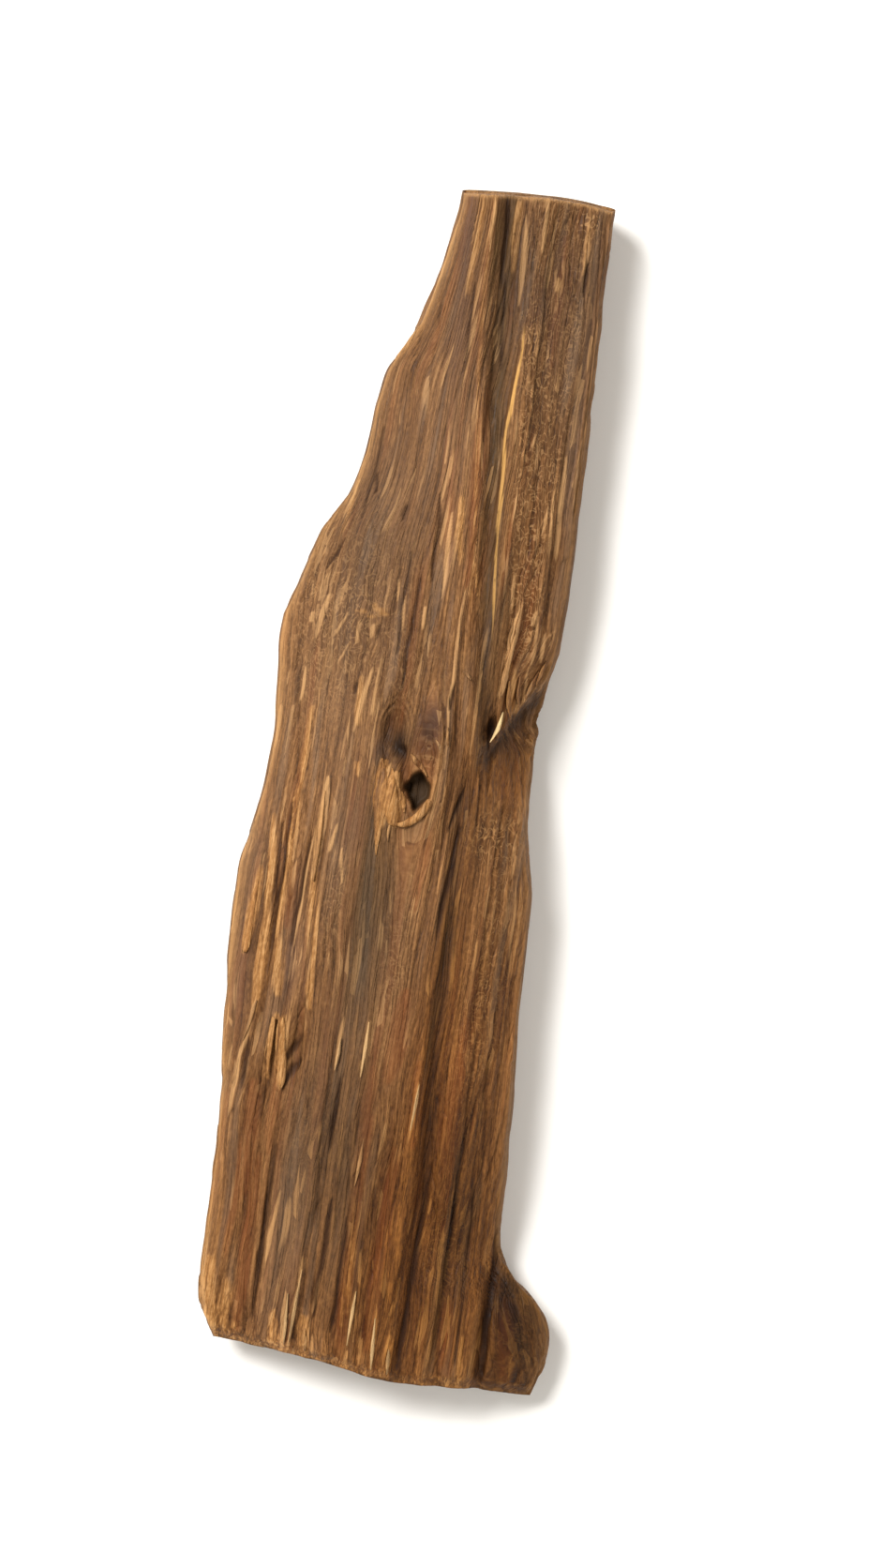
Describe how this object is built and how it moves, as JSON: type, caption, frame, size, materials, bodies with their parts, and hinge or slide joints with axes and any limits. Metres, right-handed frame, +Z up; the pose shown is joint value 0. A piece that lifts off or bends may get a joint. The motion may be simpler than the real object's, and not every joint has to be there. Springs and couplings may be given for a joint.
{
  "type": "agarwood piece",
  "caption": "Split stave of weathered resinous agarwood with a knot hole and a long furrow, sawn at one end and broken at the other, lying on its gouged back.",
  "frame": {"origin": "under the middle of the piece, on the surface that it rests on", "axes": "+Y along the grain towards the sawn end, +X across the weathered face towards the side with the foot, +Z up out of the weathered face"},
  "size_m": [0.0506, 0.1607, 0.017],
  "materials": {
    "wood": "weathered, fibrous, grey-brown with ochre and dark resin streaks"
  },
  "bodies": {
    "root": {"agarwood_piece": "wood"}
  },
  "joints": []
}
